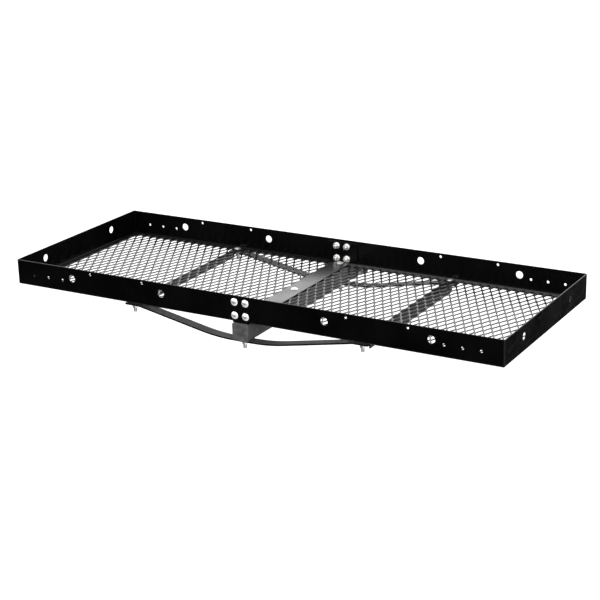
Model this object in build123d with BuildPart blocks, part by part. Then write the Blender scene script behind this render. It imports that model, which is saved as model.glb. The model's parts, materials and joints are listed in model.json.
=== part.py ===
from build123d import *
import math
import os

# Hitch-mounted cargo carrier: two half trays with expanded-metal floors, bolted together over a
# square main tube, which folds up on a pivot in front of a 2 in shank.
# Origin: centre of the hitch pin hole, on the shank's centreline. +X runs along the tray,
# +Y points to the vehicle and +Z is up. All sizes are in millimetres.

# ---- driving dimensions ----------------------------------------------------------------------

TRAY_LENGTH = 1524.0
TRAY_WIDTH = 584.0
RAIL_HEIGHT = 74.0
SHEET = 3.0
FLANGE = 25.4
BEND_R = 5.0                  # outer radius of the bend between a rail's wall and its flange
RAIL_CORNER_R = 5.0
EDGE_R = 0.9                  # rounding that the coat leaves on sheared edges
SEAM_GAP = 0.5

MAIN_TUBE = 50.0
MAIN_TUBE_WALL = 4.0
TUBE_CORNER_R = 6.0
TUBE_FRONT_REACH = 293.0      # from the tray's centre to the tube's outer end
CAP_FACE = 3.0
CAP_PLUG_DEPTH = 11.0

SHANK = 50.8
SHANK_WALL = 6.0
SHANK_TAIL = 51.0             # from the hitch pin hole to the shank's vehicle end
HITCH_PIN_R = 8.15

PIVOT_TO_PIN = 124.0          # from the hitch pin hole back to the fold pivot
RAIL_TO_PIVOT = 36.0          # from the rear rail's outer face to the fold pivot
TUBE_END = 32.0               # how far the main tube runs past its pivot
STOP_GAP = 0.5                # between the tube's end and the shank's end when the tray is down
PLATE = 6.0
PLATE_REACH = 64.0            # from the pivot to the plates' vehicle end
PLATE_HEIGHT = 48.0
PIVOT_BOSS_R = 17.0
LOCK_BOSS_R = 11.0
LOCK_OFFSET = 14.5            # lock hole from the pivot, along Y and along Z

STRIP_WIDTH = 56.0
STRIP_LENGTH = 574.0
BAR_WIDTH = 25.4
BAR_LENGTH = 580.0

BRACE = 25.4
BRACE_T = 3.2
BRACE_OUTER_X = 373.0
BRACE_LENGTH = 580.0
BRACE_LEG_LENGTH = 512.0
BRACE_HOLE_R = 3.5
BRACE_HOLE_INSET = 9.0

STRAP_WIDTH = 32.0
STRAP_T = 4.8
STRAP_END_X = 383.0
STRAP_TAB_X = 338.0
STRAP_FLAT_X = 80.0
STRAP_TAB_R = 40.0
STRAP_MIDDLE_R = 540.0

MESH_LONG_WAY = 50.0
MESH_SHORT_WAY = 26.5
MESH_STRAND = 3.4

SPLICE_LENGTH = 102.0
SPLICE_HEIGHT = 60.0
SPLICE_T = 4.8
SPLICE_BASE = 7.5             # above the rail's underside, clear of the centre strip
SPLICE_BOLT_X = 17.0
SPLICE_BOLT_HEIGHTS = (17.5, 55.5)

BOLT_R = 4.75                 # 3/8 in
HEAD_R = 10.6
HEAD_HEIGHT = 5.0
HEAD_RIM = 1.0                # upright edge under the head's dome
NECK = 9.5
NECK_DEPTH = 3.0
SQUARE_HOLE = 10.0
BOLT_HOLE_R = 5.2
NUT_FLATS = 14.3
NUT_HEIGHT = 8.3
WASHER_R = 10.3
WASHER_T = 1.65
THREAD_OUT = 5.0              # thread left standing past each splice nut
FLOOR_THREAD_OUT = 12.5       # and past each nut under the tray
EDGE_CHAMFER = 1.0            # on bolt ends, pins and bushes

STRAP_BOLT_X = 360.0
STRAP_BOLT_Y = 273.0

PIVOT_BOLT_R = 6.35           # 1/2 in
PIVOT_CLEARANCE = 0.07
BUSH_R = 9.5
PIVOT_FLATS = 19.05
PIVOT_HEAD = 8.0
PIVOT_NUT = 11.0
PIVOT_WASHER_R = 11.2
PIVOT_WASHER_T = 2.5

LOCK_PIN_R = 5.0
LOCK_CLEARANCE = 0.08
LOCK_HOLE_R = 5.4
GUIDE_R = 9.0
GUIDE_LENGTH = 22.0
LOCK_TIP_OUT = 14.0           # pin standing past the far plate when it is pushed in
LOCK_TIP_RECESS = 1.0         # tip behind the near plate's inner face when it is drawn
HANDLE_GAP = 6.0
HANDLE_BEND_R = 12.0
HANDLE_LENGTH = 52.0
CLIP_HOLE_R = 1.8
CLIP_HOLE_INSET = 6.0
GRIP_R = 8.0
GRIP_LENGTH = 34.0
GRIP_WALL = 3.0

# holes in the long rails: distance from the tray's centre, height above the rail's underside
TIE_DOWN_R = 11.0
TIE_DOWN_HEIGHT = 43.0
TIE_DOWN_XS = (257.0, 564.0)
END_TIE_DOWN_Y = 164.0
SMALL_R = 4.0
PLATE_HOLE_HEIGHT = 64.0
PLATE_HOLE_XS = (320.5, 498.3)
LIGHT_HOLE_HEIGHT = 34.0
LIGHT_HOLE_XS = (598.4, 649.2, 700.0)

# ---- worked out from the driving dimensions ------------------------------------------------------

HALF_L = TRAY_LENGTH / 2
HALF_W = TRAY_WIDTH / 2
PIVOT_Y = -PIVOT_TO_PIN
TRAY_Y = PIVOT_Y - RAIL_TO_PIVOT - HALF_W
TUBE_TOP = MAIN_TUBE / 2
DECK_Z = TUBE_TOP + SHEET     # the rails' underside: the inner bars lie between it and the tube
TUBE_START_Y = TRAY_Y - TUBE_FRONT_REACH
SHANK_START_Y = PIVOT_Y + TUBE_END + STOP_GAP
HEAD_DOME = HEAD_HEIGHT - HEAD_RIM
DOME_R = (HEAD_R**2 + HEAD_DOME**2) / (2 * HEAD_DOME)
PLATE_IN_X = SHANK / 2
PLATE_OUT_X = PLATE_IN_X + PLATE
LOCK_Y = PIVOT_Y + LOCK_OFFSET
LOCK_Z = LOCK_OFFSET

# planes: the tray's underside, a side view of it, an end view of it, and a side view of the fold
DECK = Plane(origin=(0, TRAY_Y, DECK_Z))
FRONT_VIEW = Plane(origin=(0, TRAY_Y, DECK_Z), x_dir=(1, 0, 0), z_dir=(0, -1, 0))
END_VIEW = Plane(origin=(0, TRAY_Y, DECK_Z), x_dir=(0, 1, 0), z_dir=(1, 0, 0))
FOLD_VIEW = Plane(origin=(0, PIVOT_Y, 0), x_dir=(0, 1, 0), z_dir=(1, 0, 0))
SIDES = {"left": -1, "right": 1}
ENDS = {"front": -1, "rear": 1}
BRACE_BOLTS = [(x, y) for x in (-STRAP_BOLT_X, STRAP_BOLT_X) for y in (-STRAP_BOLT_Y, STRAP_BOLT_Y)]
SPLICE_BOLTS = [(x, z) for x in (-SPLICE_BOLT_X, SPLICE_BOLT_X) for z in SPLICE_BOLT_HEIGHTS]


def write(builder, name):
    """Label a finished piece and write its STEP file."""
    builder.part.label = name
    export_step(builder.part, f"parts/{name}.step")


# ---- half trays: mitred sheet rails, inner bars and mesh floors -----------------------------------


def rail(section, length, outline):
    """One L-section rail, bent from sheet: extruded whole, then cut to its mitred outline."""
    with BuildPart() as piece:
        with BuildSketch(section) as profile:
            with BuildLine():
                wall = FilletPolyline((0, RAIL_HEIGHT), (0, 0), (FLANGE, 0), radius=BEND_R)
                offset(wall, amount=SHEET, side=Side.LEFT)
            make_face()
            fillet(profile.vertices().group_by(Axis.Y)[-1], EDGE_R)
        extrude(amount=length / 2, both=True)
        with BuildSketch(DECK):
            Polygon(*outline, align=None)
            RectangleRounded(TRAY_LENGTH, TRAY_WIDTH, RAIL_CORNER_R, mode=Mode.INTERSECT)
        extrude(amount=RAIL_HEIGHT, mode=Mode.INTERSECT)
    return piece


def long_rail(side, end):
    """Half of the front or rear rail, from the seam to its mitred corner, with all its holes."""
    section = Plane(origin=(0, TRAY_Y + end * HALF_W, DECK_Z), x_dir=(0, -end, 0), z_dir=(-end, 0, 0))
    seam = side * SEAM_GAP / 2
    edge = end * HALF_W
    outline = [(seam, edge), (seam, 0), (side * (HALF_L - HALF_W), 0), (side * HALF_L, edge)]
    with BuildPart() as piece:
        add(rail(section, TRAY_LENGTH, outline).part)
        with BuildSketch(DECK):
            with Locations(*BRACE_BOLTS):
                Rectangle(SQUARE_HOLE, SQUARE_HOLE)
            with Locations((0, -STRAP_BOLT_Y), (0, STRAP_BOLT_Y)):
                Circle(BOLT_HOLE_R)
        extrude(amount=SHEET, mode=Mode.SUBTRACT)
        with BuildSketch(FRONT_VIEW):
            with Locations(*[(side * x, TIE_DOWN_HEIGHT) for x in TIE_DOWN_XS]):
                Circle(TIE_DOWN_R)
            with Locations(*[(side * x, PLATE_HOLE_HEIGHT) for x in PLATE_HOLE_XS]):
                Circle(SMALL_R)
            with Locations(*[(side * x, LIGHT_HOLE_HEIGHT) for x in LIGHT_HOLE_XS]):
                Circle(SMALL_R)
            with Locations(*SPLICE_BOLTS):
                Rectangle(SQUARE_HOLE, SQUARE_HOLE)
        extrude(amount=TRAY_WIDTH, both=True, mode=Mode.SUBTRACT)
    return piece


def end_rail(side):
    """The short rail that closes a half tray, mitred at both ends."""
    section = Plane(origin=(side * HALF_L, TRAY_Y, DECK_Z), x_dir=(-side, 0, 0), z_dir=(0, side, 0))
    outline = [(side * HALF_L, -HALF_W), (side * (HALF_L - HALF_W), 0), (side * HALF_L, HALF_W)]
    with BuildPart() as piece:
        add(rail(section, TRAY_WIDTH, outline).part)
        with BuildSketch(END_VIEW):
            with Locations((-END_TIE_DOWN_Y, TIE_DOWN_HEIGHT), (END_TIE_DOWN_Y, TIE_DOWN_HEIGHT)):
                Circle(TIE_DOWN_R)
        extrude(amount=TRAY_LENGTH, both=True, mode=Mode.SUBTRACT)
    return piece


def inner_bar(side):
    """Flat bar along the inner edge of a half tray, lapped under the rails' flanges."""
    with BuildPart() as piece:
        with BuildSketch(DECK.offset(-SHEET)):
            with Locations((side * (SEAM_GAP / 2 + BAR_WIDTH / 2), 0)):
                Rectangle(BAR_WIDTH, BAR_LENGTH)
            with Locations((0, -STRAP_BOLT_Y), (0, 0), (0, STRAP_BOLT_Y)):
                Circle(BOLT_HOLE_R, mode=Mode.SUBTRACT)
        extrude(amount=SHEET)
    return piece


def mesh_floor(side):
    """Floor of a half tray: a panel with staggered diamond openings, long way along Y."""
    inner_x = SEAM_GAP / 2
    outer_x = HALF_L - FLANGE
    depth = TRAY_WIDTH - 2 * FLANGE
    columns = int((outer_x - inner_x) / MESH_SHORT_WAY) - 1
    rows = int(depth / MESH_LONG_WAY)
    half_x = MESH_SHORT_WAY / 2 - MESH_STRAND / 2
    half_y = MESH_LONG_WAY / 2 - MESH_STRAND
    diamond = [(-half_x, 0), (0, -half_y), (half_x, 0), (0, half_y)]
    with BuildPart() as piece:
        with BuildSketch(DECK):
            with Locations((side * (inner_x + outer_x) / 2, 0)):
                Rectangle(outer_x - inner_x, depth)
                with GridLocations(MESH_SHORT_WAY, MESH_LONG_WAY, columns + 1, rows):
                    Polygon(*diamond, align=None, mode=Mode.SUBTRACT)
                with GridLocations(MESH_SHORT_WAY, MESH_LONG_WAY, columns, rows - 1):
                    Polygon(*diamond, align=None, mode=Mode.SUBTRACT)
            Circle(BOLT_HOLE_R, mode=Mode.SUBTRACT)
        extrude(amount=SHEET)
    return piece


def center_strip():
    """Flat strip over the seam, clamped down through the main tube."""
    with BuildPart() as piece:
        with BuildSketch(DECK.offset(SHEET)):
            Rectangle(STRIP_WIDTH, STRIP_LENGTH)
            with Locations((0, -STRAP_BOLT_Y), (0, 0), (0, STRAP_BOLT_Y)):
                Rectangle(SQUARE_HOLE, SQUARE_HOLE, mode=Mode.SUBTRACT)
        extrude(amount=SHEET)
        fillet(piece.faces().sort_by(Axis.Z)[-1].outer_wire().edges(), EDGE_R)
    return piece


def splice_plate(end):
    """Plate that joins the two halves of a long rail on its inner face."""
    inner_face = HALF_W - SHEET
    with BuildPart() as piece:
        with BuildSketch(FRONT_VIEW.offset(-end * (inner_face - SPLICE_T / 2))):
            with Locations((0, SPLICE_BASE + SPLICE_HEIGHT / 2)):
                RectangleRounded(SPLICE_LENGTH, SPLICE_HEIGHT, TUBE_CORNER_R)
            with Locations(*SPLICE_BOLTS):
                Circle(BOLT_HOLE_R, mode=Mode.SUBTRACT)
        extrude(amount=SPLICE_T / 2, both=True)
        shown_face = piece.faces().sort_by(Axis.Y)[0 if end > 0 else -1]
        fillet(shown_face.outer_wire().edges(), EDGE_R)
    return piece


# ---- structure under the tray ---------------------------------------------------------------------


def main_tube():
    """Square tube that carries the tray, with a rounded upper corner at the fold pivot."""
    length = PIVOT_Y + TUBE_END - TUBE_START_Y
    section = Plane(origin=(0, TUBE_START_Y, 0), x_dir=(1, 0, 0), z_dir=(0, 1, 0))
    bore = MAIN_TUBE - 2 * MAIN_TUBE_WALL
    with BuildPart() as piece:
        with BuildSketch(section):
            RectangleRounded(MAIN_TUBE, MAIN_TUBE, TUBE_CORNER_R)
            RectangleRounded(bore, bore, TUBE_CORNER_R - MAIN_TUBE_WALL, mode=Mode.SUBTRACT)
        extrude(amount=length)
        with BuildSketch(FOLD_VIEW):
            with Locations((TUBE_END / 2, MAIN_TUBE / 2)):
                Rectangle(TUBE_END, MAIN_TUBE)
            Circle(TUBE_END, mode=Mode.SUBTRACT)
        extrude(amount=MAIN_TUBE, both=True, mode=Mode.SUBTRACT)
        with BuildSketch(FOLD_VIEW):
            Circle(BUSH_R)
            with Locations((-LOCK_OFFSET, LOCK_OFFSET), (LOCK_OFFSET, LOCK_OFFSET)):
                Circle(LOCK_HOLE_R)
        extrude(amount=MAIN_TUBE, both=True, mode=Mode.SUBTRACT)
        with BuildSketch(Plane(origin=(0, TRAY_Y, 0))):
            with Locations((0, -STRAP_BOLT_Y), (0, 0), (0, STRAP_BOLT_Y)):
                Circle(BOLT_HOLE_R)
        extrude(amount=MAIN_TUBE, both=True, mode=Mode.SUBTRACT)
    return piece


def tube_end_cap():
    """Plastic cap in the main tube's outer end: a face plate and a hollow plug."""
    face = Plane(origin=(0, TUBE_START_Y - CAP_FACE, 0), x_dir=(1, 0, 0), z_dir=(0, 1, 0))
    plug = MAIN_TUBE - 2 * MAIN_TUBE_WALL
    with BuildPart() as piece:
        with BuildSketch(face):
            RectangleRounded(MAIN_TUBE, MAIN_TUBE, TUBE_CORNER_R)
        extrude(amount=CAP_FACE)
        with BuildSketch(face.offset(CAP_FACE)):
            RectangleRounded(plug, plug, TUBE_CORNER_R - MAIN_TUBE_WALL)
            Rectangle(plug - 2 * CAP_FACE, plug - 2 * CAP_FACE, mode=Mode.SUBTRACT)
        extrude(amount=CAP_PLUG_DEPTH)
        fillet(piece.faces().sort_by(Axis.Y)[0].edges(), CAP_FACE / 3)
    return piece


def cross_brace(side):
    """Angle iron across the tray: a flat flange under the floor and a leg on its outer edge."""
    with BuildPart() as piece:
        with BuildSketch(DECK.offset(-BRACE_T)):
            with Locations((side * (BRACE_OUTER_X - BRACE / 2), 0)):
                Rectangle(BRACE, BRACE_LENGTH)
            with Locations((side * STRAP_BOLT_X, -STRAP_BOLT_Y), (side * STRAP_BOLT_X, STRAP_BOLT_Y)):
                Circle(BOLT_HOLE_R, mode=Mode.SUBTRACT)
        extrude(amount=BRACE_T)
        with BuildSketch(DECK.offset(-BRACE)):
            with Locations((side * (BRACE_OUTER_X - BRACE_T / 2), 0)):
                Rectangle(BRACE_T, BRACE_LEG_LENGTH)
        extrude(amount=BRACE)
        with BuildSketch(END_VIEW):
            hole_y = BRACE_LEG_LENGTH / 2 - BRACE_HOLE_INSET
            with Locations((-hole_y, -BRACE / 2), (hole_y, -BRACE / 2)):
                Circle(BRACE_HOLE_R)
        extrude(amount=TRAY_LENGTH, both=True, mode=Mode.SUBTRACT)
    return piece


def truss_strap(end):
    """Flat bar bent into a shallow V under the tray, from brace to brace under the main tube."""
    tab_z = -BRACE_T
    low_z = -DECK_Z - TUBE_TOP
    with BuildPart() as piece:
        with BuildSketch(FRONT_VIEW.offset(-end * STRAP_BOLT_Y)):
            with BuildLine():
                path = FilletPolyline(
                    (-STRAP_END_X, tab_z),
                    (-STRAP_TAB_X, tab_z),
                    (-STRAP_FLAT_X, low_z),
                    (STRAP_FLAT_X, low_z),
                    (STRAP_TAB_X, tab_z),
                    (STRAP_END_X, tab_z),
                    radius=(STRAP_TAB_R, STRAP_MIDDLE_R, STRAP_MIDDLE_R, STRAP_TAB_R),
                )
                offset(path, amount=STRAP_T, side=Side.RIGHT)
            make_face()
        extrude(amount=STRAP_WIDTH / 2, both=True)
        fillet(piece.faces().filter_by(Axis.Y).edges(), EDGE_R)
        with BuildSketch(DECK):
            with Locations(*[(x, end * STRAP_BOLT_Y) for x in (-STRAP_BOLT_X, 0, STRAP_BOLT_X)]):
                Circle(BOLT_HOLE_R)
        extrude(amount=-2 * MAIN_TUBE, mode=Mode.SUBTRACT)
    return piece


# ---- fasteners ------------------------------------------------------------------------------------


def carriage_bolt(grip, thread_out):
    """Round-head square-neck bolt: head above z = 0, shank down through the grip and the nut."""
    reach = grip + WASHER_T + NUT_HEIGHT + thread_out
    with BuildPart() as bolt:
        with BuildSketch(Plane.XZ):
            with BuildLine():
                Line((0, 0), (HEAD_R, 0))
                Line((HEAD_R, 0), (HEAD_R, HEAD_RIM))
                RadiusArc((HEAD_R, HEAD_RIM), (0, HEAD_HEIGHT), -DOME_R)
                Line((0, HEAD_HEIGHT), (0, 0))
            make_face()
        revolve(axis=Axis.Z)
        with BuildSketch(Plane.XY):
            Rectangle(NECK, NECK)
        extrude(amount=-NECK_DEPTH)
        with BuildSketch(Plane.XY):
            Circle(BOLT_R)
        extrude(amount=-reach)
        chamfer(bolt.faces().sort_by(Axis.Z)[0].edges(), EDGE_CHAMFER)
    return bolt.part


def hex_prism(flats, height, hole_r):
    """Hexagonal nut or head with turned corners, standing on z = 0."""
    corner_r = flats / 2 / math.cos(math.pi / 6)
    bevel = (corner_r - flats / 2) / 2
    with BuildPart() as nut:
        with BuildSketch(Plane.XY):
            RegularPolygon(flats / 2, 6, major_radius=False)
            if hole_r:
                Circle(hole_r, mode=Mode.SUBTRACT)
        extrude(amount=height)
        with BuildSketch(Plane.XZ):
            Polygon(
                (0, 0),
                (flats / 2, 0),
                (corner_r, bevel),
                (corner_r, height - bevel),
                (flats / 2, height),
                (0, height),
                align=None,
            )
        revolve(axis=Axis.Z, mode=Mode.INTERSECT)
    return nut.part


def washer(outer_r, inner_r, thickness):
    """Flat washer standing on z = 0."""
    with BuildPart() as ring:
        with BuildSketch(Plane.XY):
            Circle(outer_r)
            Circle(inner_r, mode=Mode.SUBTRACT)
        extrude(amount=thickness)
    return ring.part


def group(piece, planes):
    """Identical pieces, one standing on each plane, as one node of separate solids."""
    with BuildPart() as nodes:
        for plane in planes:
            add(plane.location * piece)
    return nodes


def fastener_set(prefix, heads, grip, thread_out):
    """Bolts, washers and nuts for one clamped stack. Each head stands on the plane given for it."""
    seats = [Plane(head.origin - head.z_dir * grip, x_dir=head.x_dir, z_dir=-head.z_dir) for head in heads]
    nut_seats = [seat.offset(WASHER_T) for seat in seats]
    write(group(carriage_bolt(grip, thread_out), heads), f"{prefix}_bolts")
    write(group(washer(WASHER_R, BOLT_HOLE_R, WASHER_T), seats), f"{prefix}_washers")
    write(group(hex_prism(NUT_FLATS, NUT_HEIGHT, BOLT_R), nut_seats), f"{prefix}_nuts")


def splice_heads(end):
    """Outer-face planes of the four bolts that join the halves of a long rail."""
    return [
        Plane(origin=(x, TRAY_Y + end * HALF_W, DECK_Z + height), x_dir=(1, 0, 0), z_dir=(0, end, 0))
        for x, height in SPLICE_BOLTS
    ]


def vertical_heads(spots, height):
    """Upward planes at tray positions, for bolts that drop through the floor."""
    return [Plane(origin=(x, TRAY_Y + y, DECK_Z + height)) for x, y in spots]


# ---- fold: plates, pivot, shank and lock pin -----------------------------------------------------


def shank_tube():
    """Hitch shank: a heavy square tube with the hitch pin hole across it."""
    section = Plane(origin=(0, SHANK_START_Y, 0), x_dir=(1, 0, 0), z_dir=(0, 1, 0))
    bore = SHANK - 2 * SHANK_WALL
    with BuildPart() as piece:
        with BuildSketch(section):
            RectangleRounded(SHANK, SHANK, TUBE_CORNER_R)
            RectangleRounded(bore, bore, TUBE_CORNER_R / 2, mode=Mode.SUBTRACT)
        extrude(amount=SHANK_TAIL - SHANK_START_Y)
        chamfer(piece.faces().sort_by(Axis.Y)[-1].outer_wire().edges(), SHANK_WALL / 3)
        with BuildSketch(Plane.YZ):
            Circle(HITCH_PIN_R)
        extrude(amount=SHANK, both=True, mode=Mode.SUBTRACT)
    return piece


def fold_plate(side):
    """Side plate of the fold: welded to the shank, with the pivot hole and the lock hole."""
    inner = PLATE_IN_X if side > 0 else -PLATE_OUT_X
    with BuildPart() as piece:
        with BuildSketch(FOLD_VIEW.offset(inner)):
            with BuildSketch(mode=Mode.PRIVATE) as boss:
                Circle(PIVOT_BOSS_R)
                with Locations((LOCK_OFFSET, LOCK_OFFSET)):
                    Circle(LOCK_BOSS_R)
                with Locations(((PLATE_REACH + TUBE_END) / 2, 0)):
                    RectangleRounded(PLATE_REACH - TUBE_END, PLATE_HEIGHT, TUBE_CORNER_R)
            make_hull(boss.sketch.edges())
            Circle(PIVOT_BOLT_R + PIVOT_CLEARANCE, mode=Mode.SUBTRACT)
            with Locations((LOCK_OFFSET, LOCK_OFFSET)):
                Circle(LOCK_PIN_R + LOCK_CLEARANCE, mode=Mode.SUBTRACT)
        extrude(amount=PLATE)
    return piece


def lock_guide():
    """Bush welded on the right plate, which keeps the drawn lock pin in line."""
    with BuildPart() as piece:
        with BuildSketch(FOLD_VIEW.offset(PLATE_OUT_X)):
            with Locations((LOCK_OFFSET, LOCK_OFFSET)):
                Circle(GUIDE_R)
                Circle(LOCK_PIN_R + LOCK_CLEARANCE, mode=Mode.SUBTRACT)
        extrude(amount=GUIDE_LENGTH)
        chamfer(piece.faces().sort_by(Axis.X)[-1].outer_wire().edges(), EDGE_CHAMFER)
    return piece


def pivot_bush():
    """Spacer tube through the main tube, which turns on the pivot bolt."""
    with BuildPart() as piece:
        with BuildSketch(FOLD_VIEW):
            Circle(BUSH_R)
            Circle(PIVOT_BOLT_R + PIVOT_CLEARANCE, mode=Mode.SUBTRACT)
        extrude(amount=MAIN_TUBE / 2, both=True)
    return piece


def pivot_bolt():
    """Hex bolt through both plates and the pivot bush, head on the left."""
    head_x = -PLATE_OUT_X - PIVOT_WASHER_T
    tip_x = PLATE_OUT_X + PIVOT_WASHER_T + PIVOT_NUT + THREAD_OUT / 2
    with BuildPart() as piece:
        add(FOLD_VIEW.offset(head_x - PIVOT_HEAD).location * hex_prism(PIVOT_FLATS, PIVOT_HEAD, 0))
        with BuildSketch(FOLD_VIEW.offset(head_x)):
            Circle(PIVOT_BOLT_R)
        extrude(amount=tip_x - head_x)
        chamfer(piece.faces().sort_by(Axis.X)[-1].edges(), EDGE_CHAMFER)
    return piece


def lock_pin():
    """Bent-handle pin, drawn: its tip rests inside the right plate."""
    tip_x = PLATE_IN_X + LOCK_TIP_RECESS
    pushed_tip_x = -PLATE_OUT_X - LOCK_TIP_OUT
    bend_x = PLATE_OUT_X + GUIDE_LENGTH + HANDLE_GAP + HANDLE_BEND_R + tip_x - pushed_tip_x
    with BuildPart() as piece:
        with BuildLine() as spine:
            FilletPolyline(
                (tip_x, LOCK_Y, LOCK_Z),
                (bend_x, LOCK_Y, LOCK_Z),
                (bend_x, LOCK_Y + HANDLE_LENGTH, LOCK_Z),
                radius=HANDLE_BEND_R,
            )
        with BuildSketch(Plane(origin=(tip_x, LOCK_Y, LOCK_Z), z_dir=(1, 0, 0))):
            Circle(LOCK_PIN_R)
        sweep(path=spine.line)
        chamfer(piece.faces().sort_by(Axis.X)[0].edges(), EDGE_CHAMFER)
        with BuildSketch(Plane(origin=(tip_x + CLIP_HOLE_INSET, LOCK_Y, LOCK_Z))):
            Circle(CLIP_HOLE_R)
        extrude(amount=2 * LOCK_PIN_R, both=True, mode=Mode.SUBTRACT)
    return piece, bend_x


def lock_pin_grip(handle_x):
    """Vinyl sleeve over the end of the lock pin's handle."""
    end_y = LOCK_Y + HANDLE_LENGTH
    sleeve = Plane(origin=(handle_x, end_y - GRIP_LENGTH, LOCK_Z), x_dir=(1, 0, 0), z_dir=(0, 1, 0))
    with BuildPart() as piece:
        with BuildSketch(sleeve):
            Circle(GRIP_R)
        extrude(amount=GRIP_LENGTH + GRIP_WALL)
        fillet(piece.edges(), GRIP_WALL / 2)
        with BuildSketch(sleeve):
            Circle(LOCK_PIN_R)
        extrude(amount=GRIP_LENGTH, mode=Mode.SUBTRACT)
    return piece


# ---- make and write every piece --------------------------------------------------------------------

os.makedirs("parts", exist_ok=True)

for side_name, side in SIDES.items():
    for end_name, end in ENDS.items():
        write(long_rail(side, end), f"{side_name}_{end_name}_rail")
    write(end_rail(side), f"{side_name}_end_rail")
    write(inner_bar(side), f"{side_name}_inner_bar")
    write(mesh_floor(side), f"{side_name}_mesh_floor")
    write(cross_brace(side), f"{side_name}_cross_brace")
    write(fold_plate(side), f"{side_name}_fold_plate")

for end_name, end in ENDS.items():
    write(splice_plate(end), f"{end_name}_splice_plate")
    write(truss_strap(end), f"{end_name}_truss_strap")
    fastener_set(f"{end_name}_splice", splice_heads(end), SHEET + SPLICE_T, THREAD_OUT)
    brace_heads = vertical_heads([(x, y) for x, y in BRACE_BOLTS if y * end > 0], SHEET)
    fastener_set(f"{end_name}_brace", brace_heads, SHEET + BRACE_T + STRAP_T, FLOOR_THREAD_OUT)

write(center_strip(), "center_strip")
write(main_tube(), "main_tube")
write(tube_end_cap(), "tube_end_cap")
tube_grip = 2 * SHEET + DECK_Z + TUBE_TOP
fastener_set("middle", vertical_heads([(0, 0)], 2 * SHEET), tube_grip, FLOOR_THREAD_OUT)
strap_heads = vertical_heads([(0, -STRAP_BOLT_Y), (0, STRAP_BOLT_Y)], 2 * SHEET)
fastener_set("strap_middle", strap_heads, tube_grip + STRAP_T, FLOOR_THREAD_OUT)

write(shank_tube(), "shank_tube")
write(lock_guide(), "lock_pin_guide")
write(pivot_bush(), "pivot_bush")
write(pivot_bolt(), "pivot_bolt")
washer_planes = [FOLD_VIEW.offset(-PLATE_OUT_X - PIVOT_WASHER_T), FOLD_VIEW.offset(PLATE_OUT_X)]
pivot_washer = washer(PIVOT_WASHER_R, PIVOT_BOLT_R + PIVOT_CLEARANCE, PIVOT_WASHER_T)
write(group(pivot_washer, washer_planes), "pivot_washers")
nut_plane = FOLD_VIEW.offset(PLATE_OUT_X + PIVOT_WASHER_T)
write(group(hex_prism(PIVOT_FLATS, PIVOT_NUT, PIVOT_BOLT_R), [nut_plane]), "pivot_nut")
pin, handle_x = lock_pin()
write(pin, "lock_pin")
write(lock_pin_grip(handle_x), "lock_pin_grip")
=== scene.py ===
import bpy
import json
import math
import random
from mathutils import Matrix, Vector


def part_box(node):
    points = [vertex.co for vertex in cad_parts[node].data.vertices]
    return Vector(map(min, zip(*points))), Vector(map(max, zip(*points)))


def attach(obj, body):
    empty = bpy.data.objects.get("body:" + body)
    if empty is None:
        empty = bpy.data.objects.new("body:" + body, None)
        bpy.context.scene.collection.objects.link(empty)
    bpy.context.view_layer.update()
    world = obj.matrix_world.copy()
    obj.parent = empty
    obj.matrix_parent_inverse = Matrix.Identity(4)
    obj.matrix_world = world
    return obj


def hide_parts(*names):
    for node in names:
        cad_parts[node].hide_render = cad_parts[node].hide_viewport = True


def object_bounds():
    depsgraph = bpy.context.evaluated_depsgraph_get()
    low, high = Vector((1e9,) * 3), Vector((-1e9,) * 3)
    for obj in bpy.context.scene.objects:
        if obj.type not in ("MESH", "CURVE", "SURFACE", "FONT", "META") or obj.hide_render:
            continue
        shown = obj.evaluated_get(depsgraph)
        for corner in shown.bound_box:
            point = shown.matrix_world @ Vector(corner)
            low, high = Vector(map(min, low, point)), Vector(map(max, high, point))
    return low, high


# A hitch cargo carrier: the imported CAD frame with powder-coat and zinc materials, raised
# expanded-metal floors, weld beads, bolt threads, a plain studio and the camera. Metres.

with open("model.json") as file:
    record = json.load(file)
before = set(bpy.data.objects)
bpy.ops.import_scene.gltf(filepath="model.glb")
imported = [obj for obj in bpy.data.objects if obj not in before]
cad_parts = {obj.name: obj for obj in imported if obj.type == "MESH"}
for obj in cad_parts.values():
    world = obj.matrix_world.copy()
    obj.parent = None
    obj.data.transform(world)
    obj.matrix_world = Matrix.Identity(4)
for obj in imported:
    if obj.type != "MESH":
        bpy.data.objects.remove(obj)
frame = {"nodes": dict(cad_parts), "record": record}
cad_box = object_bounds()

SEED = 11
random.seed(SEED)

MM = 0.001
SIDES = {"left": -1, "right": 1}
ENDS = (-1, 1)                 # front and rear, along Y
TRAY = "tray"
SHANK = "shank"
X = Vector((1, 0, 0))
Y = Vector((0, 1, 0))
Z = Vector((0, 0, 1))

# ---- places read from the frame ----------------------------------------------------------------

rail_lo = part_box("left_front_rail")[0]
rail_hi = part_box("right_rear_rail")[1]
floor_lo, floor_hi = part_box("right_mesh_floor")
strip_lo, strip_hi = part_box("center_strip")
middle_lo, middle_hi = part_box("middle_bolts")
tray_mid = Vector(((rail_lo.x + rail_hi.x) / 2, (rail_lo.y + rail_hi.y) / 2, rail_lo.z))
half_width = rail_hi.y - tray_mid.y
half_length = rail_hi.x - tray_mid.x
flange = rail_hi.y - floor_hi.y
sheet = floor_hi.z - floor_lo.z
head_r = (middle_hi.x - middle_lo.x) / 2

# ---- shader nodes -------------------------------------------------------------------------------

COLOR_MIX_A = 6                # sockets of a mix node in its colour mode
COLOR_MIX_B = 7
COLOR_MIX_RESULT = 2
VALUE_MIX_A = 2                # and in its number mode
VALUE_MIX_B = 3
VALUE_MIX_RESULT = 0


def new_material(name):
    """A node material, its tree and its Principled shader."""
    material = bpy.data.materials.new(name)
    material.use_nodes = True
    shader = material.node_tree.nodes["Principled BSDF"]
    return material, material.node_tree, shader


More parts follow.
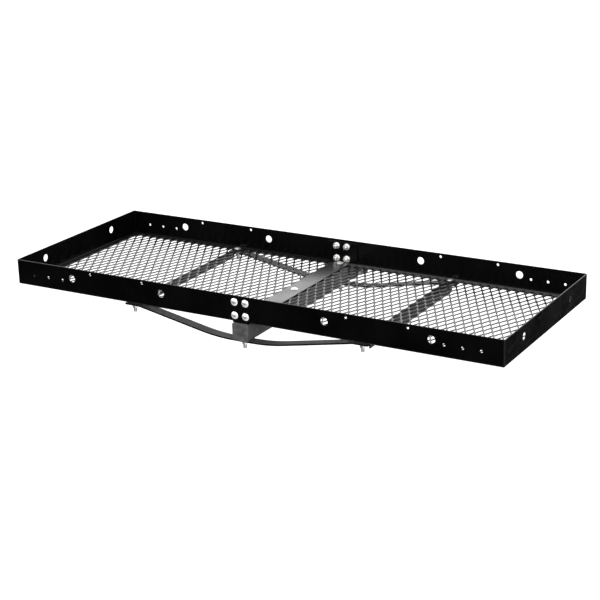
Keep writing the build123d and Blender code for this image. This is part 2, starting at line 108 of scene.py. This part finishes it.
def noise(tree, scale, detail=2.0, rough=0.5, stretch=None):
    """Noise over object coordinates, so it stays with the piece. Scale is in cycles per metre."""
    coords = tree.nodes.new("ShaderNodeTexCoord")
    texture = tree.nodes.new("ShaderNodeTexNoise")
    texture.inputs["Scale"].default_value = scale
    texture.inputs["Detail"].default_value = detail
    texture.inputs["Roughness"].default_value = rough
    source = coords.outputs["Object"]
    if stretch:
        mapping = tree.nodes.new("ShaderNodeMapping")
        mapping.inputs["Scale"].default_value = stretch
        tree.links.new(source, mapping.inputs["Vector"])
        source = mapping.outputs["Vector"]
    tree.links.new(source, texture.inputs["Vector"])
    return texture.outputs["Fac"]


def remap(tree, value, low, high, to_low, to_high):
    """Maps a value's range to another, clamped."""
    node = tree.nodes.new("ShaderNodeMapRange")
    node.inputs["From Min"].default_value = low
    node.inputs["From Max"].default_value = high
    node.inputs["To Min"].default_value = to_low
    node.inputs["To Max"].default_value = to_high
    tree.links.new(value, node.inputs["Value"])
    return node.outputs["Result"]


def ramp(tree, value, low, high, limit=1.0):
    """Rises from 0 to a limit while the value goes from low to high."""
    return remap(tree, value, low, high, 0.0, limit)


def color_mix(tree, factor, over):
    """A colour mix towards a constant colour, with its first colour still open."""
    node = tree.nodes.new("ShaderNodeMix")
    node.data_type = "RGBA"
    node.inputs[COLOR_MIX_B].default_value = (*over, 1.0)
    tree.links.new(factor, node.inputs[0])
    return node


def blend_colors(tree, factor, first, second):
    """Colour between two constant ones, by a 0 to 1 factor."""
    node = color_mix(tree, factor, second)
    node.inputs[COLOR_MIX_A].default_value = (*first, 1.0)
    return node.outputs[COLOR_MIX_RESULT]


def lay_over(tree, factor, under, over):
    """A constant colour laid over a linked one, by a 0 to 1 factor."""
    node = color_mix(tree, factor, over)
    tree.links.new(under, node.inputs[COLOR_MIX_A])
    return node.outputs[COLOR_MIX_RESULT]


def blend_values(tree, factor, first, second):
    """Number between two linked ones, by a 0 to 1 factor."""
    node = tree.nodes.new("ShaderNodeMix")
    node.data_type = "FLOAT"
    tree.links.new(factor, node.inputs[0])
    tree.links.new(first, node.inputs[VALUE_MIX_A])
    tree.links.new(second, node.inputs[VALUE_MIX_B])
    return node.outputs[VALUE_MIX_RESULT]


def bump(tree, height, distance, strength):
    """Surface normal bumped by a height."""
    node = tree.nodes.new("ShaderNodeBump")
    node.inputs["Distance"].default_value = distance
    node.inputs["Strength"].default_value = strength
    tree.links.new(height, node.inputs["Height"])
    return node.outputs["Normal"]


def facing(tree, axis):
    """How far a surface faces along an axis of its piece, from -1 to 1."""
    coords = tree.nodes.new("ShaderNodeTexCoord")
    split = tree.nodes.new("ShaderNodeSeparateXYZ")
    tree.links.new(coords.outputs["Normal"], split.inputs[0])
    return split.outputs[axis]


# ---- materials --------------------------------------------------------------------------------

TONE_DRIFT = 9.0               # noise scales of a powder coat
GLOSS_DRIFT = 14.0
SCUFF_MARKS = 60.0
ORANGE_PEEL = 700.0
DRIFT_RANGE = (0.35, 0.65)     # the part of a slow noise that runs from one tone to the other
GLOSS_RANGE = (0.3, 0.7)
SCUFF_RANGE = (0.5, 0.7)
PAINTED_LIGHT_RANGE = (0.85, 0.97)      # how squarely a face looks along the axis of its painted light
SCUFF_STRETCH = (0.25, 1.0, 1.0)
SCUFF_GAIN = 1.5               # a rubbed mark against the coat's lighter tone
SCUFF_LIFT = 0.012
COAT_GLOSS_SPREAD = 0.06
PEEL_DEPTH = 0.4 * MM


def powder_coat(name, dark, light, rough, specular, peel=0.25, scuffs=0.0, painted_light=None):
    """Powder coat: fine orange peel, slow drifts in tone and gloss, and rubbed marks.

    Painted light, given as (axis, colour), is a lighter tone painted on the faces that look along one
    axis, where light falls on them.
    """
    material, tree, shader = new_material(name)
    drift = noise(tree, TONE_DRIFT, detail=3.0)
    color = blend_colors(tree, ramp(tree, drift, *DRIFT_RANGE), dark, light)
    # painted light: a lighter tone on the faces that look along one axis
    if painted_light:
        axis, painted_light_color = painted_light
        color = lay_over(tree, ramp(tree, facing(tree, axis), *PAINTED_LIGHT_RANGE), color, painted_light_color)
    if scuffs:
        marks = noise(tree, SCUFF_MARKS, detail=6.0, rough=0.7, stretch=SCUFF_STRETCH)
        rubbed = tuple(min(1.0, channel * SCUFF_GAIN + SCUFF_LIFT) for channel in light)
        color = lay_over(tree, ramp(tree, marks, *SCUFF_RANGE, scuffs), color, rubbed)
    tree.links.new(color, shader.inputs["Base Color"])
    slow = noise(tree, GLOSS_DRIFT, detail=4.0)
    gloss = remap(tree, slow, *GLOSS_RANGE, rough - COAT_GLOSS_SPREAD, rough + COAT_GLOSS_SPREAD)
    tree.links.new(gloss, shader.inputs["Roughness"])
    shader.inputs["Specular IOR Level"].default_value = specular
    fine = bump(tree, noise(tree, ORANGE_PEEL, detail=1.0), PEEL_DEPTH, peel)
    tree.links.new(fine, shader.inputs["Normal"])
    return material


ZINC_COOL = (0.80, 0.81, 0.83)
ZINC_WARM = (0.86, 0.85, 0.81)
ZINC_CLOUD = (0.55, 0.56, 0.58)
CAST_SCALE = 160.0
CLOUD_SCALE = 420.0
CLOUD_RANGE = (0.55, 0.75)
CLOUD_COVER = 0.5
ZINC_ROUGH = (0.2, 0.38)
ZINC_METAL = 0.9
ZINC_GRAIN = 0.3 * MM


def shaded(color, shade):
    """A colour made darker by one factor."""
    return tuple(channel * shade for channel in color)


def zinc_plate(name, shade=1.0):
    """Bright zinc: pale metal with cloudy patches, a faint warm and blue cast, and fine grain. A shade
    below 1 darkens its colours as painted shade.
    """
    material, tree, shader = new_material(name)
    cast = ramp(tree, noise(tree, CAST_SCALE, detail=3.0), *DRIFT_RANGE)
    color = blend_colors(tree, cast, shaded(ZINC_COOL, shade), shaded(ZINC_WARM, shade))
    clouds = noise(tree, CLOUD_SCALE, detail=5.0, rough=0.65)
    cover = ramp(tree, clouds, *CLOUD_RANGE, CLOUD_COVER)
    color = lay_over(tree, cover, color, shaded(ZINC_CLOUD, shade))
    tree.links.new(color, shader.inputs["Base Color"])
    shader.inputs["Metallic"].default_value = ZINC_METAL
    tree.links.new(remap(tree, clouds, *GLOSS_RANGE, *ZINC_ROUGH), shader.inputs["Roughness"])
    tree.links.new(bump(tree, clouds, ZINC_GRAIN, 0.2), shader.inputs["Normal"])
    return material


MOULD_DRIFT = 60.0
MOULD_GRAIN = 1800.0
MOULD_GRAIN_DEPTH = 0.2 * MM
MOULD_GLOSS_SPREAD = 0.08


def moulded(name, dark, light, rough):
    """Moulded plastic: a fine grain and slow gloss drift."""
    material, tree, shader = new_material(name)
    drift = noise(tree, MOULD_DRIFT, detail=4.0)
    color = blend_colors(tree, ramp(tree, drift, *DRIFT_RANGE), dark, light)
    tree.links.new(color, shader.inputs["Base Color"])
    gloss = remap(tree, drift, *GLOSS_RANGE, rough - MOULD_GLOSS_SPREAD, rough + MOULD_GLOSS_SPREAD)
    tree.links.new(gloss, shader.inputs["Roughness"])
    tree.links.new(bump(tree, noise(tree, MOULD_GRAIN), MOULD_GRAIN_DEPTH, 0.3), shader.inputs["Normal"])
    return material


BLACK = (0.0006, 0.0006, 0.0007)
BLACK_WORN = (0.0014, 0.0014, 0.0015)
BLACK_RUBBED = (0.006, 0.006, 0.0062)
# a faint painted sheen for the rails' up-facing faces
PAINTED_SHEEN = (0.007, 0.007, 0.0072)
GREY = (0.036, 0.036, 0.037)
# the tube coat's worn tone, and also the grey of a painted highlight on the right rear rail's flange
GREY_WORN_AND_HIGHLIGHT = (0.066, 0.066, 0.067)
# brace tones darkened below the tube coat's, as painted shade on the braces' tops under the mesh
BRACE_DARK = (0.006, 0.006, 0.006)
BRACE_LIGHT = (0.012, 0.012, 0.012)
STRIP_DARK = (0.016, 0.016, 0.017)
STRIP_LIGHT = (0.026, 0.026, 0.027)
MESH_DARK = (0.012, 0.012, 0.013)
MESH_LIGHT = (0.02, 0.02, 0.021)
PLASTIC_DARK = (0.022, 0.022, 0.022)
PLASTIC_LIGHT = (0.05, 0.05, 0.049)
VINYL_DARK = (0.012, 0.012, 0.012)
VINYL_LIGHT = (0.02, 0.02, 0.02)
# zinc darkened by this factor is painted shade, for hardware that sits in shade under the tray
PAINTED_SHADE_FACTOR = 0.35

# The rails' up-facing faces get a faint painted sheen.
rail_coat = powder_coat("rail_coat", BLACK, BLACK_WORN, 0.2, 0.12, peel=0.05, painted_light=("Z", PAINTED_SHEEN))
# The right rear rail's up-facing faces get a grey painted highlight.
right_flange_highlight_coat = powder_coat("right_flange_highlight_coat", BLACK, BLACK_WORN, 0.2, 0.12, peel=0.05, painted_light=("Z", GREY_WORN_AND_HIGHLIGHT))
end_coat = powder_coat("end_coat", BLACK, BLACK_RUBBED, 0.3, 0.2, peel=0.1, scuffs=0.5)
tube_coat = powder_coat("tube_coat", GREY, GREY_WORN_AND_HIGHLIGHT, 0.42, 0.3, scuffs=0.4)
# The straps' up-facing faces get a grey painted light, as lit tops.
strap_coat = powder_coat("strap_coat", BLACK, BLACK_WORN, 0.45, 0.1, painted_light=("Z", GREY))
# The braces are painted dark as shade under the mesh, with a grey painted light on their +X faces.
brace_coat = powder_coat("brace_coat", BRACE_DARK, BRACE_LIGHT, 0.5, 0.04, painted_light=("X", GREY))
strip_coat = powder_coat("strip_coat", STRIP_DARK, STRIP_LIGHT, 0.26, 0.55, peel=0.1)
mesh_coat = powder_coat("mesh_coat", MESH_DARK, MESH_LIGHT, 0.2, 0.8, peel=0.1)
zinc = zinc_plate("zinc")
# a darker copy of the zinc: painted shade for the pivot hardware and the bolt threads
zinc_painted_shade = zinc_plate("zinc_painted_shade", shade=PAINTED_SHADE_FACTOR)
cap_plastic = moulded("cap_plastic", PLASTIC_DARK, PLASTIC_LIGHT, 0.55)
grip_vinyl = moulded("grip_vinyl", VINYL_DARK, VINYL_LIGHT, 0.3)

BY_SLOT = {
    "black_coat": rail_coat,
    "tube_coat": tube_coat,
    "strip_coat": strip_coat,
    "mesh_coat": mesh_coat,
    "zinc": zinc,
    "cap_plastic": cap_plastic,
    "grip_vinyl": grip_vinyl,
}

BY_NODE = {
    "right_end_rail": end_coat,
    "right_rear_rail": right_flange_highlight_coat,
    "front_truss_strap": strap_coat,
    "rear_truss_strap": strap_coat,
    "left_cross_brace": brace_coat,
    "right_cross_brace": brace_coat,
    # the pivot hardware gets zinc darkened as painted shade
    "pivot_bolt": zinc_painted_shade,
    "pivot_washers": zinc_painted_shade,
    "pivot_nut": zinc_painted_shade,
}


def give(piece, material):
    """Puts one material on a piece."""
    piece.data.materials.clear()
    piece.data.materials.append(material)


for part in frame["record"]["subparts"]:
    node = part["node"]
    give(frame["nodes"][node], BY_NODE.get(node, BY_SLOT[part["material_slot"]]))

# ---- building pieces ---------------------------------------------------------------------------


def make_piece(name, soup, material, body, smooth=False):
    """A mesh piece in the row frame, with its material and body."""
    mesh = bpy.data.meshes.new(name)
    mesh.from_pydata(soup.points, [], soup.faces)
    mesh.validate()
    mesh.polygons.foreach_set("use_smooth", [smooth] * len(mesh.polygons))
    piece = bpy.data.objects.new(name, mesh)
    bpy.context.scene.collection.objects.link(piece)
    give(piece, material)
    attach(piece, body)
    return piece


class Soup:
    """Points and faces of many small shapes that share one piece."""

    def __init__(self):
        self.points = []
        self.faces = []

    def loft(self, rings):
        """A closed tube through rings of equal point counts."""
        count = len(rings[0])
        start = len(self.points)
        for ring in rings:
            self.points.extend(ring)
        for r in range(len(rings) - 1):
            for i in range(count):
                j = (i + 1) % count
                low = start + r * count
                high = low + count
                self.faces.append((low + i, low + j, high + j, high + i))
        self.faces.append(tuple(start + i for i in reversed(range(count))))
        last = start + (len(rings) - 1) * count
        self.faces.append(tuple(last + i for i in range(count)))


def ring_around(centre, first, second, radius, segments):
    """A circle of points about a centre, in the plane of two directions."""
    ring = []
    for i in range(segments):
        angle = 2 * math.pi * i / segments
        ring.append(tuple(centre + (first * math.cos(angle) + second * math.sin(angle)) * radius))
    return ring


# ---- raised expanded-metal floors -----------------------------------------------------------------

LONG_WAY = 50.0 * MM
SHORT_WAY = 26.5 * MM
STRAND_W = 4.0 * MM
STRAND_T = 2.0 * MM
STRAND_TILT = math.radians(20)
STRAND_STEPS = 12              # rings along one cell's long way
BOND_HALF = 4.5 * MM
STRAIGHT_SHARE = 0.75          # how much of a strand's slope is straight, the rest eases in and out
OVERLAP = 8.0 * MM             # the mesh runs this far onto the flanges it is welded to
STRIP_OVERLAP = 7.0 * MM       # and this far over the strip's left edge
STRAND_EDGE = 0.35 * MM
STRAND_EDGE_ANGLE = math.radians(50)

TACK_R = (1.3, 1.9)            # smallest and largest weld spot, in mm
TACK_PROFILE = ((-0.4, 1.0), (0.25, 0.95), (0.7, 0.62), (0.95, 0.15))   # height and spread
TACK_FLATNESS = 0.8
ROUND_SEGMENTS = 8             # points around a weld spot or a weld bead

raise_half = STRAND_W / 2 * math.sin(STRAND_TILT)
swing = SHORT_WAY / 4 - STRAND_W * math.cos(STRAND_TILT) / 2


def zigzag(y):
    """Where a strand stands between its left bond (-1) and its right bond (1), y from a right bond."""
    along = abs((y / LONG_WAY + 0.5) % 1.0 - 0.5) * LONG_WAY
    slope_length = LONG_WAY / 2 - 2 * BOND_HALF
    travelled = min(max((along - BOND_HALF) / slope_length, 0.0), 1.0)
    eased = travelled * travelled * (3 - 2 * travelled)
    return 1 - 2 * (STRAIGHT_SHARE * travelled + (1 - STRAIGHT_SHARE) * eased)


def strand(soup, x, y_low, y_high, phase, mid_z):
    """One zigzag strand along Y: a flat ribbon that leans down towards +X."""
    step = LONG_WAY / STRAND_STEPS
    near = step / 4
    count = int((y_high - y_low) / step)
    rings = []
    for i in range(count + 1):
        y = y_low + (y_high - y_low) * i / count
        here = zigzag(y - phase)
        rise = zigzag(y - phase + near) - zigzag(y - phase - near)
        turn = math.atan2(rise * swing, 2 * near)
        across = Vector((math.cos(turn), -math.sin(turn), 0))
        side = (across * math.cos(STRAND_TILT) - Z * math.sin(STRAND_TILT)) * STRAND_W / 2
        lift = (across * math.sin(STRAND_TILT) + Z * math.cos(STRAND_TILT)) * STRAND_T / 2
        centre = Vector((x + swing * here, y, mid_z + raise_half * here))
        corners = (centre - side - lift, centre + side - lift, centre + side + lift, centre - side + lift)
        rings.append([tuple(corner) for corner in corners])
    soup.loft(rings)


def tack(soup, place):
    """A small weld spot: a low dome that fuses a strand's end to the flange under it."""
    size = random.uniform(*TACK_R) * MM
    rings = []
    for height, spread in TACK_PROFILE:
        centre = place + Z * size * height * TACK_FLATNESS
        rings.append(ring_around(centre, X, Y, size * spread, ROUND_SEGMENTS))
    soup.loft(rings)


def expanded_floor(side_name, side):
    """The raised mesh of one half tray, from the centre strip to its end rail's flange."""
    node = f"{side_name}_mesh_floor"
    lo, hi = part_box(node)
    x_low = lo.x - OVERLAP if side < 0 else strip_hi.x
    x_high = strip_lo.x + STRIP_OVERLAP if side < 0 else hi.x + OVERLAP
    y_low, y_high = lo.y - OVERLAP, hi.y + OVERLAP
    mid_z = hi.z + raise_half / 2
    pitch = SHORT_WAY / 2
    count = int((x_high - x_low - 2 * swing - STRAND_W) / pitch)
    start_x = (x_low + x_high - count * pitch) / 2
    strands = Soup()
    tacks = Soup()
    for k in range(count + 1):
        x = start_x + k * pitch
        phase = tray_mid.y + (LONG_WAY / 2 if k % 2 else 0.0)
        strand(strands, x, y_low, y_high, phase, mid_z)
        for y in (y_low, y_high):
            tack(tacks, Vector((x + swing * zigzag(y - phase), y, hi.z)))
    make_piece(f"{side_name}_mesh_tacks", tacks, rail_coat, TRAY, smooth=True)
    piece = make_piece(f"{side_name}_expanded_metal", strands, mesh_coat, TRAY)
    softened = piece.modifiers.new("edges", "BEVEL")
    softened.width = STRAND_EDGE
    softened.segments = 1
    softened.limit_method = "ANGLE"
    softened.angle_limit = STRAND_EDGE_ANGLE
    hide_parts(node)


for side_name, side in SIDES.items():
    expanded_floor(side_name, side)

# ---- weld beads ---------------------------------------------------------------------------------

CORNER_BEAD_R = 1.6 * MM
MITRE_BEAD_R = 1.4 * MM
LAP_BEAD_R = 1.8 * MM
PLATE_BEAD_R = 2.2 * MM
PLATE_END_BEAD_R = 2.4 * MM
GUIDE_BEAD_R = 1.5 * MM
BEAD_STOP = 2.0 * MM           # a bead ends this far before the edge of its piece
MITRE_START = 6.0 * MM         # where a flange's mitre bead starts, in from the tray's corner
LAP_STOP = 1.0 * MM
PLATE_RADIUS = 6.0 * MM        # the rounded corners of a fold plate that its long beads leave out
PLATE_CORNER = 7.0 * MM

RIPPLE_LENGTH = 1.1            # of a bead's radius
RINGS_PER_RIPPLE = 3
RIPPLE_DEPTH = 0.12
BEAD_UNEVEN = 0.05
END_SIZE = 0.25                # a bead's tip, against its middle

GUIDE_STEPS = 72
GUIDE_START = -70.0            # degrees from +Y, towards +Z
GUIDE_SWEEP = 230.0
GUIDE_STEPS_PER_RIPPLE = 3.6
GUIDE_RIPPLE_DEPTH = 0.15
GUIDE_END_SIZE = 0.4
GUIDE_END_STEPS = 4


def bead(soup, start, end, radius, across, up):
    """A weld bead: overlapping ripples from start to end, sunk into the corner between two faces."""
    length = (end - start).length
    along = (end - start).normalized()
    ripple = radius * RIPPLE_LENGTH
    count = max(3, int(length / ripple * RINGS_PER_RIPPLE))
    rings = []
    for i in range(count + 1):
        t = i / count
        wave = 1 - RIPPLE_DEPTH + RIPPLE_DEPTH * math.cos(2 * math.pi * t * length / ripple)
        taper = min(1.0, END_SIZE + min(t, 1 - t) * length / radius)
        size = radius * wave * taper * random.uniform(1 - BEAD_UNEVEN, 1 + BEAD_UNEVEN)
        rings.append(ring_around(start + along * (t * length), across, up, size, ROUND_SEGMENTS))
    soup.loft(rings)


def corner_welds(side_name, side):
    """Upright beads inside the two mitred corners of a half tray."""
    soup = Soup()
    x = tray_mid.x + side * (half_length - sheet)
    for end in ENDS:
        y = tray_mid.y + end * (half_width - sheet)
        low = Vector((x, y, tray_mid.z + sheet))
        high = Vector((x, y, rail_hi.z - BEAD_STOP))
        bead(soup, low, high, CORNER_BEAD_R, X, Y)
    make_piece(f"{side_name}_corner_welds", soup, rail_coat, TRAY, smooth=True)


def flange_welds(side_name, side):
    """Flat beads over the mitres of the flanges, and under them where the inner bar is lapped."""
    soup = Soup()
    bar_lo, bar_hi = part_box(f"{side_name}_inner_bar")
    outer_x = tray_mid.x + side * half_length
    for end in ENDS:
        corner = Vector((outer_x, tray_mid.y + end * half_width, tray_mid.z + sheet))
        inward = Vector((-side, -end, 0))
        across = Vector((side, -end, 0)).normalized()
        mitre_end = corner + inward * (flange - BEAD_STOP)
        bead(soup, corner + inward * MITRE_START, mitre_end, MITRE_BEAD_R, across, Z)
        y = tray_mid.y + end * (half_width - flange)
        lap_start = Vector((bar_lo.x + LAP_STOP, y, tray_mid.z))
        lap_end = Vector((bar_hi.x - LAP_STOP, y, tray_mid.z))
        bead(soup, lap_start, lap_end, LAP_BEAD_R, Y, Z)
    make_piece(f"{side_name}_flange_welds", soup, rail_coat, TRAY, smooth=True)


def plate_welds(side_name, side):
    """Beads that hold a fold plate on the shank: along its top and bottom edges and across its end."""
    soup = Soup()
    plate_lo, plate_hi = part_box(f"{side_name}_fold_plate")
    shank_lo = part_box("shank_tube")[0]
    x = plate_lo.x if side > 0 else plate_hi.x
    half_height = -plate_lo.z
    y_start = shank_lo.y + BEAD_STOP
    y_end = plate_hi.y - PLATE_RADIUS
    for z in (-half_height, half_height):
        bead(soup, Vector((x, y_start, z)), Vector((x, y_end, z)), PLATE_BEAD_R, X, Z)
    reach = half_height - PLATE_CORNER
    low = Vector((x, plate_hi.y, -reach))
    high = Vector((x, plate_hi.y, reach))
    bead(soup, low, high, PLATE_END_BEAD_R, X, Y)
    make_piece(f"{side_name}_plate_welds", soup, tube_coat, SHANK, smooth=True)


def guide_weld():
    """A bead around the lock pin's guide, open towards the pivot washer."""
    lo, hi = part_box("lock_pin_guide")
    centre = Vector((lo.x, (lo.y + hi.y) / 2, (lo.z + hi.z) / 2))
    radius = (hi.y - lo.y) / 2
    rings = []
    for i in range(GUIDE_STEPS + 1):
        around = math.radians(GUIDE_START + GUIDE_SWEEP * i / GUIDE_STEPS)
        out = Vector((0, math.cos(around), math.sin(around)))
        wave = math.cos(2 * math.pi * i / GUIDE_STEPS_PER_RIPPLE)
        to_end = min(i, GUIDE_STEPS - i)
        taper = min(1.0, GUIDE_END_SIZE + to_end / GUIDE_END_STEPS)
        size = GUIDE_BEAD_R * (1 - GUIDE_RIPPLE_DEPTH + GUIDE_RIPPLE_DEPTH * wave) * taper
        rings.append(ring_around(centre + out * radius, out, X, size, ROUND_SEGMENTS))
    soup = Soup()
    soup.loft(rings)
    make_piece("guide_weld", soup, tube_coat, SHANK, smooth=True)


for side_name, side in SIDES.items():
    corner_welds(side_name, side)
    flange_welds(side_name, side)
for side_name, side in SIDES.items():
    plate_welds(side_name, side)
guide_weld()

# ---- bolt threads ----------------------------------------------------------------------------------

BOLT_R = 4.75 * MM
THREAD_PITCH = 1.6 * MM
THREAD_DEPTH = 0.4 * MM
THREAD_SEGMENTS = 20           # per turn
THREAD_ROOT = 0.97             # of the bolt's radius, so the ridge starts inside it
RIDGE_HALF = 0.42              # of the pitch
FADE_STEPS = 4
PAIR_SPREAD = 3                # a group wider than this many head radii holds two rows
FLOOR_GROUPS = ("front_brace", "rear_brace", "middle", "strap_middle")


def thread(soup, base, axis, length, radius):
    """Thread crests around a bolt's standing end, as one helical ridge."""
    side = axis.orthogonal().normalized()
    other = axis.cross(side)
    half = axis * THREAD_PITCH * RIDGE_HALF
    count = int(length / THREAD_PITCH * THREAD_SEGMENTS)
    rings = []
    for i in range(count + 1):
        angle = 2 * math.pi * i / THREAD_SEGMENTS
        out = side * math.cos(angle) + other * math.sin(angle)
        centre = base + axis * (i / THREAD_SEGMENTS * THREAD_PITCH)
        fade = min(1.0, i / FADE_STEPS, (count - i) / FADE_STEPS)
        root = centre + out * radius * THREAD_ROOT
        crest = centre + out * (radius + THREAD_DEPTH * fade)
        rings.append([tuple(root - half), tuple(crest), tuple(root + half)])
    soup.loft(rings)


def bolt_spots(lo, hi, axis):
    """Where a group's bolts stand across their axis, from the group's box."""
    spots = []
    for k in range(3):
        if k == axis:
            spots.append((0.0,))
        elif hi[k] - lo[k] > PAIR_SPREAD * head_r:
            spots.append((lo[k] + head_r, hi[k] - head_r))
        else:
            spots.append(((lo[k] + hi[k]) / 2,))
    return [Vector((x, y, z)) for x in spots[0] for y in spots[1] for z in spots[2]]


def threads(group, axis, sign):
    """Threads on the part of each bolt of a group that stands past its nut."""
    lo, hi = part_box(f"{group}_bolts")
    nut_lo, nut_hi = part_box(f"{group}_nuts")
    start = (nut_hi if sign > 0 else nut_lo)[axis]
    tip = (hi if sign > 0 else lo)[axis]
    direction = Vector([sign if k == axis else 0 for k in range(3)])
    length = abs(tip - start) - THREAD_PITCH
    soup = Soup()
    for spot in bolt_spots(lo, hi, axis):
        spot[axis] = start + sign * THREAD_PITCH / 2
        thread(soup, spot, direction, length, BOLT_R)
    # the threads get zinc darkened as painted shade
    make_piece(f"{group}_threads", soup, zinc_painted_shade, TRAY)


for group in FLOOR_GROUPS:
    threads(group, axis=2, sign=-1)
threads("front_splice", axis=1, sign=1)
threads("rear_splice", axis=1, sign=-1)

# ---- the studio -----------------------------------------------------------------------------------

FLOOR_DROP = 0.45              # a hitch receiver stands about this far above the road
FLOOR_SIZE = 40.0
FLOOR_TONES = ((0.93, 0.93, 0.93), (0.95, 0.95, 0.95))
FLOOR_DRIFT = 0.6
FLOOR_ROUGH = 0.9
SKY_LOW = 2.3                  # brightness of the surround up to about 30 degrees above eye level
SKY_HIGH = 0.95                # and overhead
SKY_FADE = (0.5, 0.75)         # height, as a sine, over which one turns into the other
HORIZON = (0.0, 0.1)           # and over which the room below turns into the sky
DARK_AXIS = (0.503, 0.864, 0.0)   # the room is dark at both ends of this line, below eye level
DARK_FADE = (0.5, 0.8)
ROOM_LIGHT = 1.0
ROOM_DARK = 0.02
KEY_OFFSET = Vector((1.6, -2.6, 2.6))
KEY_SIZE = 1.2
KEY_POWER = 60


def studio_floor():
    """A plain pale floor, which gloss doesn't see."""
    z = cad_box[0].z - FLOOR_DROP
    half = FLOOR_SIZE / 2
    mesh = bpy.data.meshes.new("studio_floor")
    corners = [(-half, -half, z), (half, -half, z), (half, half, z), (-half, half, z)]
    mesh.from_pydata(corners, [], [(0, 1, 2, 3)])
    floor = bpy.data.objects.new("studio_floor", mesh)
    bpy.context.scene.collection.objects.link(floor)
    material, tree, shader = new_material("studio_floor")
    color = blend_colors(tree, noise(tree, FLOOR_DRIFT), *FLOOR_TONES)
    tree.links.new(color, shader.inputs["Base Color"])
    shader.inputs["Roughness"].default_value = FLOOR_ROUGH
    shader.inputs["Specular IOR Level"].default_value = 0.0
    give(floor, material)
    floor.visible_glossy = False


def surround():
    """A soft white surround. Gloss sees two dark ends to the room below eye level."""
    world = bpy.data.worlds.new("studio")
    bpy.context.scene.world = world
    world.use_nodes = True
    tree = world.node_tree
    background = tree.nodes["Background"]
    coords = tree.nodes.new("ShaderNodeTexCoord")
    split = tree.nodes.new("ShaderNodeSeparateXYZ")
    tree.links.new(coords.outputs["Generated"], split.inputs[0])
    along = tree.nodes.new("ShaderNodeVectorMath")
    along.operation = "DOT_PRODUCT"
    along.inputs[1].default_value = DARK_AXIS
    tree.links.new(coords.outputs["Generated"], along.inputs[0])
    both_ways = tree.nodes.new("ShaderNodeMath")
    both_ways.operation = "ABSOLUTE"
    tree.links.new(along.outputs["Value"], both_ways.inputs[0])
    room = remap(tree, both_ways.outputs[0], *DARK_FADE, ROOM_LIGHT, ROOM_DARK)
    sky = remap(tree, split.outputs["Z"], *SKY_FADE, SKY_LOW, SKY_HIGH)
    above = ramp(tree, split.outputs["Z"], *HORIZON)
    tree.links.new(blend_values(tree, above, room, sky), background.inputs["Strength"])
    background.inputs["Color"].default_value = (1, 1, 1, 1)


def area_light(name, place, target, size, power):
    """A square soft box that faces a point."""
    data = bpy.data.lights.new(name, "AREA")
    data.shape = "SQUARE"
    data.size = size
    data.energy = power
    light = bpy.data.objects.new(name, data)
    light.location = place
    light.rotation_mode = "QUATERNION"
    light.rotation_quaternion = (target - place).to_track_quat("-Z", "Y")
    bpy.context.scene.collection.objects.link(light)


studio_floor()
surround()
area_light("key", tray_mid + KEY_OFFSET, tray_mid, KEY_SIZE, KEY_POWER)

# ---- the camera --------------------------------------------------------------------------------------

YAW = math.radians(30.2)
PITCH = math.radians(18.9)
ROLL = math.radians(-1.4)
DISTANCE = 4.389
AIM_RIGHT = 0.0153
AIM_UP = -0.0253
LENS = 92.7
SENSOR = 36.0
FAR_CLIP = 100


def place_camera():
    """Camera in front and to the right of the tray, looking down on it."""
    level = math.cos(PITCH)
    forward = Vector((-math.sin(YAW) * level, math.cos(YAW) * level, -math.sin(PITCH)))
    level_right = Vector((math.cos(YAW), math.sin(YAW), 0))
    level_up = level_right.cross(forward)
    right = math.cos(ROLL) * level_right + math.sin(ROLL) * level_up
    up = -math.sin(ROLL) * level_right + math.cos(ROLL) * level_up
    data = bpy.data.cameras.new("camera")
    data.lens = LENS
    data.sensor_width = SENSOR
    data.clip_end = FAR_CLIP
    camera = bpy.data.objects.new("camera", data)
    place = tray_mid - forward * DISTANCE + right * AIM_RIGHT + up * AIM_UP
    axes = Matrix((right, up, -forward)).transposed().to_4x4()
    camera.matrix_world = Matrix.Translation(place) @ axes
    bpy.context.scene.collection.objects.link(camera)
    bpy.context.scene.camera = camera


place_camera()
bpy.context.scene.view_settings.view_transform = "Standard"
